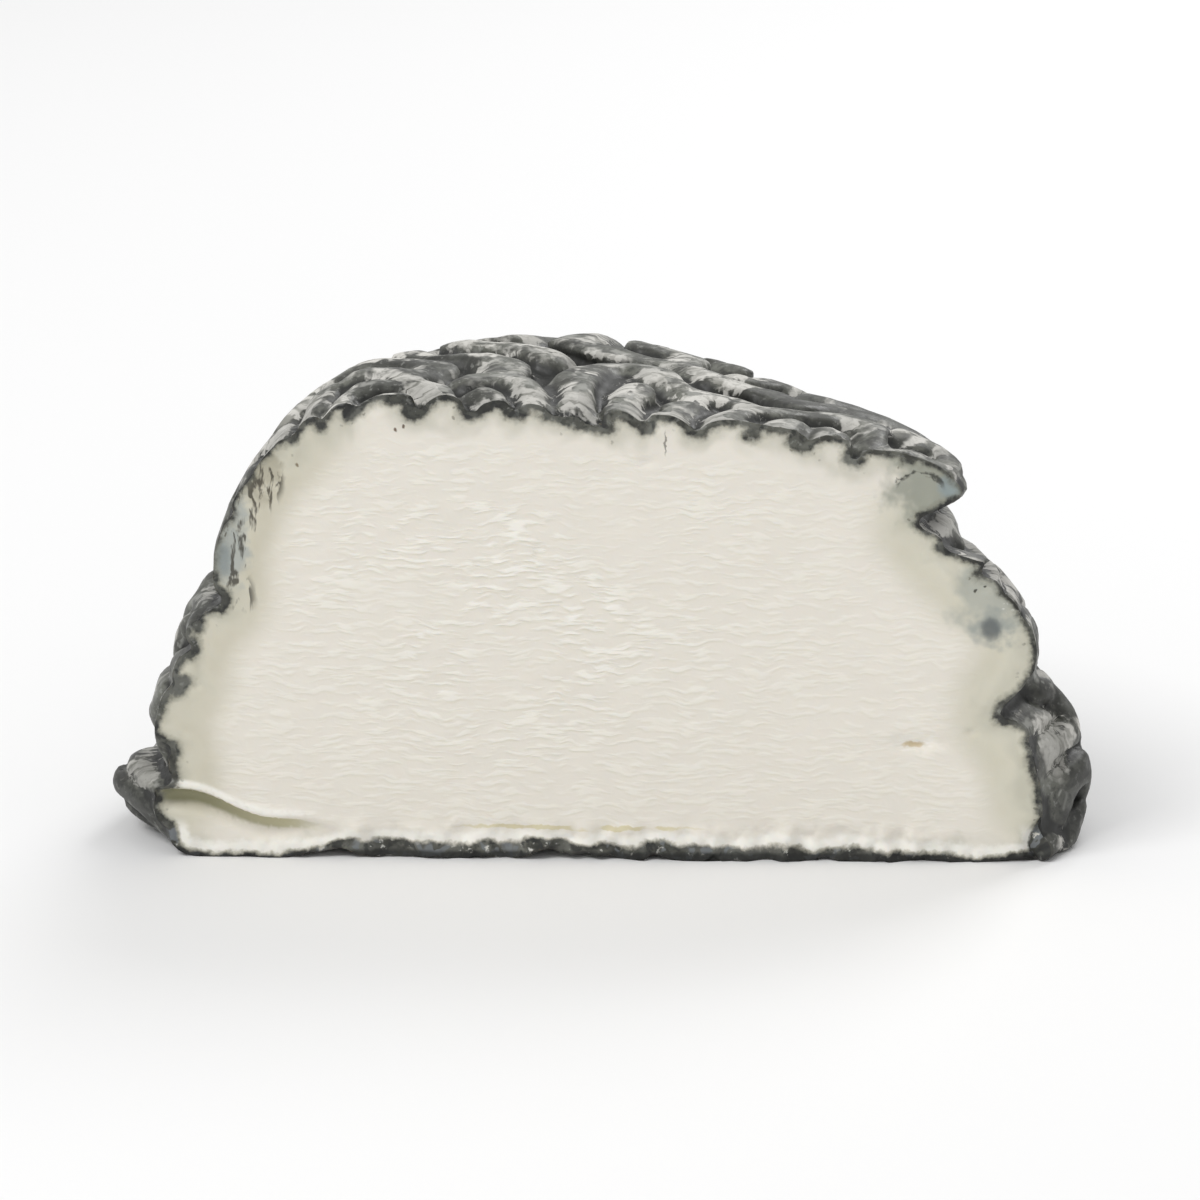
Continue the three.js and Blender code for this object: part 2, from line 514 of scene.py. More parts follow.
# Beside the cut the knife pressed the flanks smoother: heights in millimetres, and the share of the
# folds that is left there.
LEFT_BY_KNIFE = [(0, 0.3), (7, 0.3), (9, 0.9), (22, 0.9), (26, 0.3), (37, 0.25), (40, 0.9)]
RIGHT_BY_KNIFE = [(0, 0.35), (12, 0.4), (14, 0.7), (16, 0.15), (26, 0.15), (28, 0.7), (31, 0.7), (33, 0.15),
                  (38, 0.25), (41, 1)]
KNIFE_PRESS = 5.5 * MM


def left_by_knife(points):
    height = points[:, 2] / MM
    left, right = (np.interp(height, *zip(*profile)) for profile in (LEFT_BY_KNIFE, RIGHT_BY_KNIFE))
    near_cut = 1 - ease(CUT_PLANE + 1.5 * MM, CUT_PLANE + KNIFE_PRESS, points[:, 1])
    near_cut *= ease(22 * MM, 26 * MM, np.abs(points[:, 0]))
    return 1 - near_cut * (1 - np.where(points[:, 0] < 0, left, right))


off_table = ease(0.3 * MM, 4 * MM, places[:, 2])
share = UNDERSIDE_SHARE + (1 - UNDERSIDE_SHARE) * off_table
share *= 1 + UNEVEN_DEPTH * lumps(places, 5.5 * MM, 11)
share *= 1 - (1 - HOLLOW_SHARE) * ease(0, 1.5, kept_value(cheese.data, "hollow"))
share *= left_by_knife(places)
share *= 1 - (1 - TOP_SHARE) * on_top * off_table
print(f"the depth of the folds varies from {share.min():.2f} to {share.max():.2f} of the full depth")

# %% Fold the skin
FOLD_DEPTH = 1.7 * MM
FOLD_LEAN = 0.3 * MM
FOLD_RISE = 0.1 * MM
TOP_LEAN = 1.3 * MM
PIMPLES = 0.06 * MM
DENTS = 0.3 * MM


def along_skin(vectors):
    """What is left of each vector when the part along the normal is taken away."""
    return vectors - (vectors * normals).sum(1)[:, None] * normals


rise = np.sqrt(np.clip(1 - down_flank ** 2, 0, 1))
gentle = ease(-0.4, 0.5, side) * on_top
rise += gentle * (1 - down_flank ** 1.2 - rise)
outward = along_skin(from_spine)
outward /= np.maximum(np.linalg.norm(outward, axis=1), 0.05 * MM)[:, None]
outward = spread_vectors(outward, fine_net, 1)
lean = FOLD_LEAN * np.sin(math.pi * down_flank) * share * (1 + 1.5 * lumps(places, 5 * MM, 12))

raised = FOLD_RISE - FOLD_DEPTH * (1 - rise) * share
raised += off_table * PIMPLES * lumps(places, 1.2 * MM, 13)
raised += off_table * DENTS * (lumps(places, 4 * MM, 14) - 0.6)
folded = places + normals * raised[:, None] + outward * lean[:, None]
folded -= along_skin(drift) * (TOP_LEAN * on_top * off_table * rise * share)[:, None]
folded[:, 2] = np.maximum(folded[:, 2], 0)
move_vertices(cheese.data, folded)
print(f"folds up to {FOLD_DEPTH / MM} mm deep, on a net of {len(folded)} vertices")

# %% [markdown]
# ## Close the folds on each other
#
# The raw folded skin may pass through itself in the tightest creases. It is kept for one thing: where
# it runs inside the cheese, the ash that it carried in will be drawn later as dark lines on the cut
# face. A second voxel remesh keeps only what shows from outside, in one closed skin.

# %% Remember the raw skin, then fuse it
SKIN_NET = 0.42 * MM
NOT_SKIN = CUT_PLANE - 2 * MM  # further forward than this is only the pulled-out face

raw_faces = [tuple(face.vertices) for face in cheese.data.polygons if face.center.y > NOT_SKIN]
raw_skin = BVHTree.FromPolygons([Vector(place) for place in folded], raw_faces)
raw_places = tree_of(folded)

remesh(SKIN_NET)
open_all()
bpy.ops.mesh.vertices_smooth(factor=0.4, repeat=1)
bpy.ops.object.mode_set(mode="OBJECT")
print(f"{len(cheese.data.polygons)} squares in the closed skin")

# %% Thin the net where the skin is flat
SKIN_TRIANGLES = 158_000  # a square counts as two

thin = cheese.modifiers.new("thinner_net", "DECIMATE")
thin.ratio = SKIN_TRIANGLES / (2 * len(cheese.data.polygons))
bpy.ops.object.modifier_apply(modifier=thin.name)
print(f"{len(cheese.data.polygons)} faces after thinning")

# %% [markdown]
# ## The cut
#
# Bisect is the knife: it slices the skin at the cut plane and throws the front away. The open edge it
# leaves is the outline of the cut face. The face is filled with a fine net of triangles, in rows that
# lie closer together than the points along them, because the marks a knife drags through soft paste
# run sideways and are thin.

# %% Slice
open_all()
bpy.ops.mesh.bisect(plane_co=(0, CUT_PLANE, 0), plane_no=(0, -1, 0), clear_outer=True, use_fill=False)
bpy.ops.mesh.select_all(action="SELECT")
bpy.ops.mesh.remove_doubles(threshold=0.05 * MM)
bpy.ops.mesh.select_all(action="DESELECT")
bpy.ops.object.mode_set(mode="OBJECT")

# Sealed pockets inside the folds are shells of their own: all that isn't joined to the top is removed.
topmost = int(np.argmax(places_of(cheese.data)[:, 2]))
bpy.ops.object.mode_set(mode="EDIT")
bpy.ops.mesh.select_mode(type="VERT")
bpy.ops.object.mode_set(mode="OBJECT")
cheese.data.vertices[topmost].select = True
bpy.ops.object.mode_set(mode="EDIT")
bpy.ops.mesh.select_linked()
bpy.ops.mesh.select_all(action="INVERT")
bpy.ops.mesh.delete(type="VERT")
bpy.ops.object.mode_set(mode="OBJECT")

skin_places = places_of(cheese.data)
skin_faces = [tuple(face.vertices) for face in cheese.data.polygons]
uses = {}
for face in skin_faces:
    for start, end in zip(face, face[1:] + face[:1]):
        uses.setdefault((min(start, end), max(start, end)), []).append((start, end))
rim_edges = [pair[0] for pair in uses.values() if len(pair) == 1]
rim = sorted({index for edge in rim_edges for index in edge})
skin_places[rim, 1] = CUT_PLANE
print(f"{len(rim)} vertices round the cut, {len(skin_faces)} faces on the skin")

# %% Fill the cut face with rows of points
ROW_GAP = 0.25 * MM
POINT_GAP = 0.46 * MM
RIM_GAP = 0.22 * MM

rim_tree = tree_of([(skin_places[index, 0], skin_places[index, 2], 0) for index in rim])


def rows_of_points(low, high, seed):
    """A brick pattern of points between two corners, each nudged a little at random."""
    rows = np.arange(low[1], high[1], ROW_GAP)
    along = np.arange(low[0], high[0], POINT_GAP)
    x, z = np.meshgrid(along, rows)
    x = x + 0.5 * POINT_GAP * (np.arange(len(rows)) % 2)[:, None]
    points = np.column_stack([x.ravel(), z.ravel()])
    nudge = np.random.default_rng(seed).uniform(-0.15, 0.15, points.shape)
    return points + nudge * (POINT_GAP, ROW_GAP)


def inside_rim(points):
    """Counts how many rim edges lie to the right of each point: an odd count means inside."""
    crossings = np.zeros(len(points), int)
    for start, end in rim_edges:
        (x0, z0), (x1, z1) = skin_places[start, ::2], skin_places[end, ::2]
        between = (points[:, 1] >= min(z0, z1)) & (points[:, 1] < max(z0, z1))
        if z0 != z1:
            at = x0 + (points[:, 1] - z0) * (x1 - x0) / (z1 - z0)
            crossings += between & (at > points[:, 0])
    return crossings % 2 == 1


rim_points = skin_places[rim][:, ::2]
lattice = rows_of_points(rim_points.min(0), rim_points.max(0), 21)
lattice = lattice[inside_rim(lattice)]
lattice = lattice[[rim_tree.find((x, z, 0))[2] > RIM_GAP for x, z in lattice]]
print(f"{len(lattice)} points inside the rim")

# %% Triangles between the points
rim_order = {index: order for order, index in enumerate(rim)}
flat_points = [Vector(point) for point in np.vstack([rim_points, lattice])]
flat_edges = [(rim_order[start], rim_order[end]) for start, end in rim_edges]
filled = delaunay_2d_cdt(flat_points, flat_edges, [], 0, 1e-7 * MM)
flat_result, flat_triangles, flat_origins = filled[0], filled[2], filled[3]
middles = np.array([[sum(flat_result[corner][axis] for corner in triangle) / 3 for axis in (0, 1)]
                    for triangle in flat_triangles])
kept = inside_rim(middles)

first_new = len(skin_places)
new_index = {}
new_places = []
for order, origins in enumerate(flat_origins):
    if origins and origins[0] < len(rim):
        new_index[order] = rim[origins[0]]
    else:
        new_index[order] = first_new + len(new_places)
        new_places.append((flat_result[order][0], CUT_PLANE, flat_result[order][1]))


def facing_forward(triangle):
    """The corners in the order that makes the triangle face -Y."""
    a, b, c = (flat_result[corner] for corner in triangle)
    turn = (b - a).x * (c - a).y - (b - a).y * (c - a).x
    return triangle if turn > 0 else triangle[::-1]


cut_faces = [tuple(new_index[corner] for corner in facing_forward(triangle))
             for triangle, keep in zip(flat_triangles, kept) if keep]
all_places = np.vstack([skin_places, new_places])
whole = bpy.data.meshes.new("ash_ripened_cheese_half")
whole.from_pydata(all_places.tolist(), [], skin_faces + cut_faces)
whole.update()
print(f"{len(cut_faces)} triangles on the cut, {len(skin_faces)} faces on the skin")

# %% Is it closed?
whole_ends = [pair for face in skin_faces + cut_faces for pair in zip(face, face[1:] + face[:1])]
loose = set(whole_ends) ^ {(end, start) for start, end in whole_ends}
print(f"{len(loose)} open or doubled edges")
cheese.data = whole

# %% [markdown]
# ## Values that the finishes read
#
# Colour has to follow form, so every vertex keeps a few numbers for the finishes to read. On the skin
# they are how high up its fold it lies, on which side, how much it faces upwards, the nearest place on
# the crest, and where there is more or less mould than elsewhere. On the cut face they are the depth
# under the skin, the distance to the edge of the ash line, and whether a flank is the nearest skin.

# %% Patches with more mould, and with less
# Middle and half sizes in millimetres, where the skin turns the corner beside the cut.
PALE_PATCHES = [((41, -20, 9), (2.4, 6, 4.6)), ((-42.5, -21, 6.5), (2.5, 4, 1.3))]
BARE_PATCHES = [((44, -18, 9), (5, 8, 13)), ((-43, -19, 4), (4, 6, 5)), ((20, -10, 38), (12, 9, 5))]
PALE_SHARE = 0.65  # mould covers this much of such a patch


def inside_patches(patches, edge):
    """1 well inside any of the patches and 0 outside; it starts to fall at edge, a share of the size."""
    inside = np.zeros(len(all_places))
    for middle, reach in patches:
        away = np.linalg.norm((all_places / MM - middle) / reach, axis=1)
        inside = np.maximum(inside, 1 - ease(edge, 1, away))
    return inside


pale = inside_patches(PALE_PATCHES, 0.6)
bare = inside_patches(BARE_PATCHES, 0.5)
keep_value(whole, "extra_mould", PALE_SHARE * pale - bare * (pale < 0.1))
print(f"{(pale > 0).sum()} vertices have more mould and {(bare > 0).sum()} less")

# %% Fold height, facing and depth under the skin
nearest = np.array([raw_places.find(place)[1] for place in all_places])
on_cut = np.arange(len(all_places)) >= first_new
on_cut[rim] = True
under = np.zeros(len(all_places))
under[on_cut] = [raw_skin.find_nearest(place)[3] / MM for place in all_places[on_cut]]
under[rim] = 0
keep_value(whole, "fold", 1 - down_flank[nearest])
keep_value(whole, "side", side[nearest])
keep_value(whole, "faces_up", normals[nearest, 2])
keep_value(whole, "under_skin", under)
crest_layer = whole.attributes.new("crest_place", "FLOAT_VECTOR", "POINT")
crest_layer.data.foreach_set("vector", crest_of[nearest].astype(np.float32).ravel())
print(f"deepest point of the paste is {under.max():.1f} mm under the skin")

# %% Ash line and creamy zone on the cut face
CREAMY_DEPTH = 6  # millimetres under the skin
ASH_LINE = 0.5  # its mean width in millimetres


def thick_under_middle(across):
    """Under the middle the ash is thick, under both feet it was scraped thin."""
    return ease(-26, -22, across) * (1 - ease(29, 34, across))


across, height = all_places[:, 0] / MM, all_places[:, 2] / MM
at_bottom = 1 - ease(2.5, 4, height)
line_width = ASH_LINE + 0.3 * lumps(all_places, 3 * MM, 51) + 0.05 * ease(34, 38, height)
line_width += at_bottom * (0.8 + 0.6 * lumps(all_places, 4 * MM, 52)) * thick_under_middle(across)
line_width *= np.where(across > 0, 0.5 + 0.5 * left_by_knife(all_places), 1)
left_shoulder = ease(26, 29, height) * (1 - ease(39, 42, height)) * (across < -20)
line_width *= 1 - 0.65 * left_shoulder
keep_value(whole, "ash_line", under - line_width)

at_flank = np.where(on_cut, ease(0.2, 0.7, np.abs(normals[nearest, 0])), 0)
at_flank = spread(at_flank, edges_of(whole), 40)
keep_value(whole, "at_flank", at_flank)
print(f"the ash line is {line_width[rim].min():.1f} to {line_width[rim].max():.1f} mm wide")

# %% [markdown]
# ## Marks on the cut face
#
# A knife never leaves soft paste flat. It drags thin ripples across the firm middle, leaves the runny
# zone under the skin a little lower, pushes up a lip at the foot on one side and pulls out a crumb here
# and there. Each mark moves the vertices of the cut face a fraction of a millimetre in or out. The foot
# isn't flat either: at a few places its front edge is lifted off the table.

# %% Ripples, dips and crumbs
RIPPLE_HEIGHT = 0.07 * MM
RIPPLE_PLACE = (-7 * MM, 25 * MM)  # middle of the patch where the blade dragged most
RIPPLE_REACH = (17 * MM, 14 * MM)
CREAMY_SINK = 0.22 * MM  # the runny zone lies this much lower
SOFT_LUMPS = 0.12 * MM
EDGE_LUMPS = 0.16 * MM
BALL_GROOVE = 0.9 * MM
LIP_HOLLOW = 1.1 * MM
LIP_RIDGE = 0.4 * MM
GRAVEL = 0.4 * MM
FOOT_BALL = (42.2, 1.4, 3.1)  # X, Z and half size in millimetres of the ash-coated lobe at the right foot
LIP_START, LIP_END = (-39 * MM, 6.6 * MM), (-24 * MM, 2.7 * MM)
CRUMB_PITS = [(28.7, 11.4, 1.9, 0.65, 0.65), (4.1, 37.7, 0.9, 0.35, 0.3), (-5.4, 29.4, 0.6, 0.4, 0.3),
              (-30.5, 39.5, 0.5, 0.8, 0.35), (33.5, 12.5, 0.5, 0.3, 0.3)]  # X, Z, half sizes, depth in mm


def streaks(places, long, tall, seed):
    """Random lumps drawn out sideways, as a blade leaves them."""
    return lumps(np.column_stack([places[:, 0] / long, places[:, 1] * 0, places[:, 2] / tall]), 1, seed)


def drag_marks(places, depth, flank):
    """Ripples: how far they move each point, how strongly it was dragged, and how firm the paste is."""
    x, z = places[:, 0], places[:, 2]
    bent = places + np.column_stack([x * 0, x * 0, 0.5 * MM * lumps(places, 6 * MM, 31)])
    fine = streaks(bent, 1.7 * MM, 0.6 * MM, 32) + 0.6 * streaks(bent, 1.1 * MM, 0.45 * MM, 33)
    away = ((x - RIPPLE_PLACE[0]) / RIPPLE_REACH[0]) ** 2 + ((z - RIPPLE_PLACE[1]) / RIPPLE_REACH[1]) ** 2
    firm = ease(CREAMY_DEPTH - 2, CREAMY_DEPTH + 1.5, depth)
    firm = np.maximum(firm, (1 - flank) * ease(1.8, 4, depth))
    dragged = (0.36 + 0.64 * np.exp(-away) * ease(-0.9, 0.3, lumps(places, 5 * MM, 34))) * firm
    return RIPPLE_HEIGHT * fine * dragged, dragged, firm


def lip_marks(places):
    """The lip at the left foot: how far it moves each point, and where a shadow is painted below it (1) and a
    highlight on its ridge (-1).
    """
    x, z = places[:, 0], places[:, 2]
    along = (x - LIP_START[0]) / (LIP_END[0] - LIP_START[0])
    lip = LIP_START[1] + along * (LIP_END[1] - LIP_START[1]) + 0.4 * MM * np.sin(9 * along)
    fades = ease(-0.15, 0, along) * (1 - ease(0.55, 1.1, along))
    below = (lip - z) / MM
    # painted shadow in the band below the lip, minus a painted highlight along its ridge
    shading_and_whey = fades * ease(-0.1, 0.5, below) * (1 - ease(1.1, 2.1 - 0.8 * np.clip(along, 0, 1), below))
    shading_and_whey -= fades * np.exp(-((below + 0.45) / 0.4) ** 2)
    move = LIP_HOLLOW * fades * ease(0, 0.5, below) * (1 - ease(1.2, 2.6, below))
    move -= LIP_RIDGE * fades * np.exp(-((below + 0.35) / 0.45) ** 2)
    return move, shading_and_whey


def cut_marks(places, depth, flank):
    """How far each point of the cut face moves inwards (+Y), in metres, and the marks to keep."""
    x, z = places[:, 0], places[:, 2]
    ripples, dragged, firm = drag_marks(places, depth, flank)
    lip, shading_and_whey = lip_marks(places)
    move = ripples + lip
    sunk = 1 - ease(CREAMY_DEPTH - 1.2, CREAMY_DEPTH + 0.8, depth + lumps(places, 5 * MM, 35))
    move += CREAMY_SINK * sunk * (0.15 + 0.85 * flank)
    from_ball = np.hypot(x / MM - FOOT_BALL[0], z / MM - FOOT_BALL[1]) / FOOT_BALL[2]
    move += BALL_GROOVE * np.exp(-((from_ball - 1) / 0.16) ** 2)
    move += SOFT_LUMPS * lumps(places, 2.2 * MM, 36) * (1 - firm)
    move += EDGE_LUMPS * lumps(places, 0.8 * MM, 37) * (1 - ease(0.6, 2.2, depth))
    for pit_x, pit_z, half_wide, half_tall, deep in CRUMB_PITS:
        away = ((x / MM - pit_x) / half_wide) ** 2 + ((z / MM - pit_z) / half_tall) ** 2
        move += deep * MM * np.exp(-away * (1 + 0.5 * lumps(places, 0.5 * MM, 38)))
    bottom = (1 - ease(2, 4.5, z / MM)) * thick_under_middle(x / MM)
    move += GRAVEL * bottom * (lumps(places, 1.3 * MM, 39) + 0.5 * lumps(places, 0.6 * MM, 40))
    return move, {"dragged": dragged, "shading_and_whey": shading_and_whey}


moves, marks = cut_marks(all_places[on_cut], under[on_cut], at_flank[on_cut])
for name, values in marks.items():
    mark = np.zeros(len(all_places))
    mark[on_cut] = values
    keep_value(whole, name, mark)
all_places[on_cut, 1] += moves
print(f"the cut face is marked from {moves.min() / MM:.2f} to {moves.max() / MM:.2f} mm deep")

# %% Lift the foot off the table here and there
FOOT_GAPS = [(-24.4, 2.6, 0.75), (-3.8, 3.2, 0.5), (38, 1.6, 0.5)]  # X, half width and lift in millimetres

at_front = 1 - ease(CUT_PLANE + 1 * MM, CUT_PLANE + 5 * MM, all_places[:, 1])
low_down = 1 - ease(0, 2.5 * MM, all_places[:, 2])
for middle, half_wide, lift in FOOT_GAPS:
    near = np.exp(-((across - middle) / half_wide) ** 2)
    all_places[:, 2] += lift * MM * at_front * low_down * near
move_vertices(whole, all_places)
print(f"{len(FOOT_GAPS)} gaps under the front of the foot")

# %% [markdown]
# ## Finishes: small tools for building nodes
#
# Both finishes are built from nodes. One helper places a node, another fills its inputs with values or
# with other nodes' outputs, and the rest are short names for the few kinds of node that come back all
# the time.

# %% Colours and nodes


def paint(red, green, blue):
    """A colour from a colour card, 0 to 255 a channel, as Blender's linear colour."""
    shares = (red / 255, green / 255, blue / 255)
    return tuple(((c + 0.055) / 1.055) ** 2.4 if c > 0.04 else c / 12.92 for c in shares) + (1,)


def fill(tree, node, inputs):
    """Gives each named input a value of its own, or links it to another node's output."""
    for name, value in inputs.items():
        if isinstance(value, bpy.types.NodeSocket):
            tree.links.new(value, node.inputs[name])
        else:
            node.inputs[name].default_value = value


def put(tree, kind, inputs=None, **settings):
    node = tree.nodes.new(kind)
    for name, value in settings.items():
        setattr(node, name, value)
    fill(tree, node, inputs or {})
    return node


print(f"the grey 188 of a colour card is {paint(188, 188, 188)[0]:.2f} in linear light")

# %% Short names for common nodes


def math_node(tree, operation, first, second=0.0):
    return put(tree, "ShaderNodeMath", {0: first, 1: second}, operation=operation).outputs[0]


def add(tree, first, second):
    return math_node(tree, "ADD", first, second)


def minus(tree, first, second):
    return math_node(tree, "SUBTRACT", first, second)


def times(tree, first, *others):
    for other in others:
        first = math_node(tree, "MULTIPLY", first, other)
    return first


def weigh(tree, *pairs):
    """Adds up values, each times its weight, measured from 0.5 so that a weight moves nothing on average."""
    total = 0.0
    for value, weight in pairs:
        total = add(tree, total, times(tree, minus(tree, value, 0.5), weight))
    return total


def blend(tree, share, first, second):
    """Mixes two colours: share 0 gives the first and 1 the second."""
    return put(tree, "ShaderNodeMix", {0: share, 6: first, 7: second}, data_type="RGBA").outputs[2]


def slide(tree, value, low, high, start=0.0, end=1.0):
    """Turns low..high into start..end with soft ends."""
    return put(tree, "ShaderNodeMapRange", {"Value": value, "From Min": low, "From Max": high,
               "To Min": start, "To Max": end}, interpolation_type="SMOOTHSTEP").outputs["Result"]


def grain(tree, vector, size, detail=2.0, twist=0.0):
    """Noise whose lumps are about size metres across."""
    return put(tree, "ShaderNodeTexNoise", {"Vector": vector, "Scale": 1 / size, "Detail": detail,
               "Roughness": 0.55, "Distortion": twist}).outputs["Fac"]


def read(tree, name, output="Fac"):
    return put(tree, "ShaderNodeAttribute", attribute_name=name).outputs[output]


def new_group(name, inputs, outputs):
    """A node group with named sockets. Returns it with its input node's outputs and its output node."""
    group = bpy.data.node_groups.new(name, "ShaderNodeTree")
    for socket, kind in inputs.items():
        group.interface.new_socket(socket, in_out="INPUT", socket_type=kind)
    for socket, kind in outputs.items():
        group.interface.new_socket(socket, in_out="OUTPUT", socket_type=kind)
    return group, group.nodes.new("NodeGroupInput").outputs, group.nodes.new("NodeGroupOutput")


FLOAT, COLOUR, VECTOR = "NodeSocketFloat", "NodeSocketColor", "NodeSocketVector"

# %% [markdown]
# ## Specks
#
# Spores, ash grains and crumbs are all small spots with ragged edges. A cell pattern gives each spot its
# own middle; only the cells whose random number is high enough hold a spot.

# %% Group: specks


def make_specks():
    tree, given, result = new_group("specks", {"Vector": VECTOR, "Size": FLOAT, "Cover": FLOAT},
                                    {"Mask": FLOAT})
    scale = math_node(tree, "DIVIDE", 1.0, given["Size"])
    ragged = put(tree, "ShaderNodeTexNoise", {"Vector": given["Vector"], "Scale": scale, "Detail": 3.0})
    nudged = put(tree, "ShaderNodeVectorMath", {0: ragged.outputs["Color"], 1: (0.5, 0.5, 0.5)},
                 operation="SUBTRACT").outputs[0]
    stretch = put(tree, "ShaderNodeVectorMath", {0: nudged, "Scale": given["Size"]},
                  operation="SCALE").outputs[0]
    moved = put(tree, "ShaderNodeVectorMath", {0: given["Vector"], 1: stretch}, operation="ADD").outputs[0]
    cells = put(tree, "ShaderNodeTexVoronoi", {"Vector": moved, "Scale": scale})
    luck = put(tree, "ShaderNodeSeparateColor", {"Color": cells.outputs["Color"]}).outputs[0]
    chosen = math_node(tree, "LESS_THAN", luck, given["Cover"])
    near = slide(tree, cells.outputs["Distance"], 0.42, 0.16)
    fill(tree, result, {"Mask": times(tree, chosen, near)})
    return tree


specks_group = make_specks()


def specks(tree, place, size, cover):
    values = {"Vector": place, "Size": size, "Cover": cover}
    return put(tree, "ShaderNodeGroup", values, node_tree=specks_group).outputs["Mask"]


print(f"{specks_group.name}: {len(specks_group.nodes)} nodes")

# %% [markdown]
# ## Charcoal
#
# Ash soaked with whey dries to a smooth, moist, mottled charcoal grey, almost black where it is thick, with a
# few paler grains. The Crease input darkens it further: in the rind's creases this is partly ash gathered
# there and partly painted shade. The group colours the skin from outside and also the thin line of skin
# that the cut shows.

# %% Group: charcoal


def make_charcoal():
    tree, given, result = new_group("charcoal", {"Vector": VECTOR, "Crease": FLOAT},
                                    {"Color": COLOUR, "Height": FLOAT})
    broad = grain(tree, given["Vector"], 11 * MM, 1.0)
    cloudy = grain(tree, given["Vector"], 2.6 * MM, 3.0, 0.5)
    fine = grain(tree, given["Vector"], 0.7 * MM, 3.0)
    grey = blend(tree, slide(tree, cloudy, 0.36, 0.64), paint(62, 62, 56), paint(104, 105, 97))
    grey = blend(tree, slide(tree, broad, 0.46, 0.62, 0, 0.6), grey, paint(38, 39, 35))
    grey = blend(tree, slide(tree, fine, 0.47, 0.34, 0, 0.6), grey, paint(34, 35, 32))
    grey = blend(tree, slide(tree, fine, 0.57, 0.7, 0, 0.55), grey, paint(148, 149, 144))
    # Crease darkens the grey: in the rind's creases partly ash gathered there, partly painted shade
    grey = blend(tree, given["Crease"], grey, paint(30, 31, 28))
    fill(tree, result, {"Color": grey, "Height": weigh(tree, (cloudy, 0.5), (fine, 0.4))})
    return tree


charcoal_group = make_charcoal()
print(f"{charcoal_group.name}: {len(charcoal_group.nodes)} nodes")

# %% [markdown]
# ## Mould bloom
#
# Pale, faintly lilac mould grows on one side of a fold, where it stayed damp. It ends sharply at the
# crest, where the folds rubbed on each other and on fingers, and in brushed streaks down the flank. The
# streaks come from one trick: the noise is read not at the point itself but at the nearest place on the
# crest, so that all the points below one spot of the crest get the same value.

# %% Group: mould bloom


def make_mould():
    tree, given, result = new_group(
        "mould_bloom", {"Vector": VECTOR, "Crest": VECTOR, "Fold": FLOAT, "Side": FLOAT, "Cover": FLOAT},
        {"Mask": FLOAT, "Color": COLOUR, "Height": FLOAT})
    patch = grain(tree, given["Vector"], 6.5 * MM, 1.5, 0.6)
    cloudy = grain(tree, given["Vector"], 2.2 * MM, 2.0, 0.3)
    fuzz = grain(tree, given["Vector"], 0.6 * MM, 3.5)
    streak = grain(tree, given["Crest"], 0.9 * MM, 2.0)
    down = minus(tree, 1.0, given["Fold"])
    limit = add(tree, 0.66, weigh(tree, (streak, 1.7), (fuzz, 0.8), (cloudy, 0.9)))
    feather = slide(tree, minus(tree, limit, down), -0.1, 0.14)
    over = slide(tree, patch, 0.56, 0.66, 0, 1.3)
    edge = add(tree, given["Side"], add(tree, over, weigh(tree, (fuzz, 0.5), (cloudy, 1.0))))
    one_side = slide(tree, edge, -0.05, 0.25)
    thickness = slide(tree, grain(tree, given["Vector"], 14 * MM, 1.0), 0.42, 0.58, 0.7, 1.0)
    here = add(tree, patch, weigh(tree, (streak, 0.3), (cloudy, 0.2)))
    cover = slide(tree, add(tree, here, given["Cover"]), 0.51, 0.64)
    mask = times(tree, feather, one_side, cover, thickness)
    pale = blend(tree, slide(tree, streak, 0.32, 0.56), paint(144, 143, 136), paint(206, 204, 198))
    pale = blend(tree, slide(tree, fuzz, 0.48, 0.3, 0, 0.45), pale, paint(138, 137, 130))
    downy = times(tree, mask, add(tree, fuzz, times(tree, streak, 0.6)))
    fill(tree, result, {"Mask": mask, "Color": pale, "Height": downy})
    return tree


mould_group = make_mould()
print(f"{mould_group.name}: {len(mould_group.nodes)} nodes")

# %% [markdown]
# ## Folded ash rind
#
# The rind is charcoal with mould over it. Crests where two mouldy sides meet are rubbed paler, and the
# skin squeezed out beside the cut is wet, bare and almost black. Wet ash shines a little and mould is
# dull, so the mould's mask also dries the surface.

# %% Finish: folded ash rind


def new_finish(name):
    finish = bpy.data.materials.new(name)
    finish.use_nodes = True
    tree = finish.node_tree
    place = put(tree, "ShaderNodeTexCoord").outputs["Object"]
    return finish, tree, place, tree.nodes["Principled BSDF"]


def count_nodes(finish):
    kinds = [node.type for node in finish.node_tree.nodes]
    print(f"{finish.name}: {len(kinds)} nodes, {kinds.count('GROUP')} of them groups")


RUBBED_ASH = paint(150, 150, 144)
WET_ASH = paint(34, 35, 32)
DRY_MOULD = 0.34  # mould makes the skin rougher by this much
RIND_BUMP = 0.22 * MM


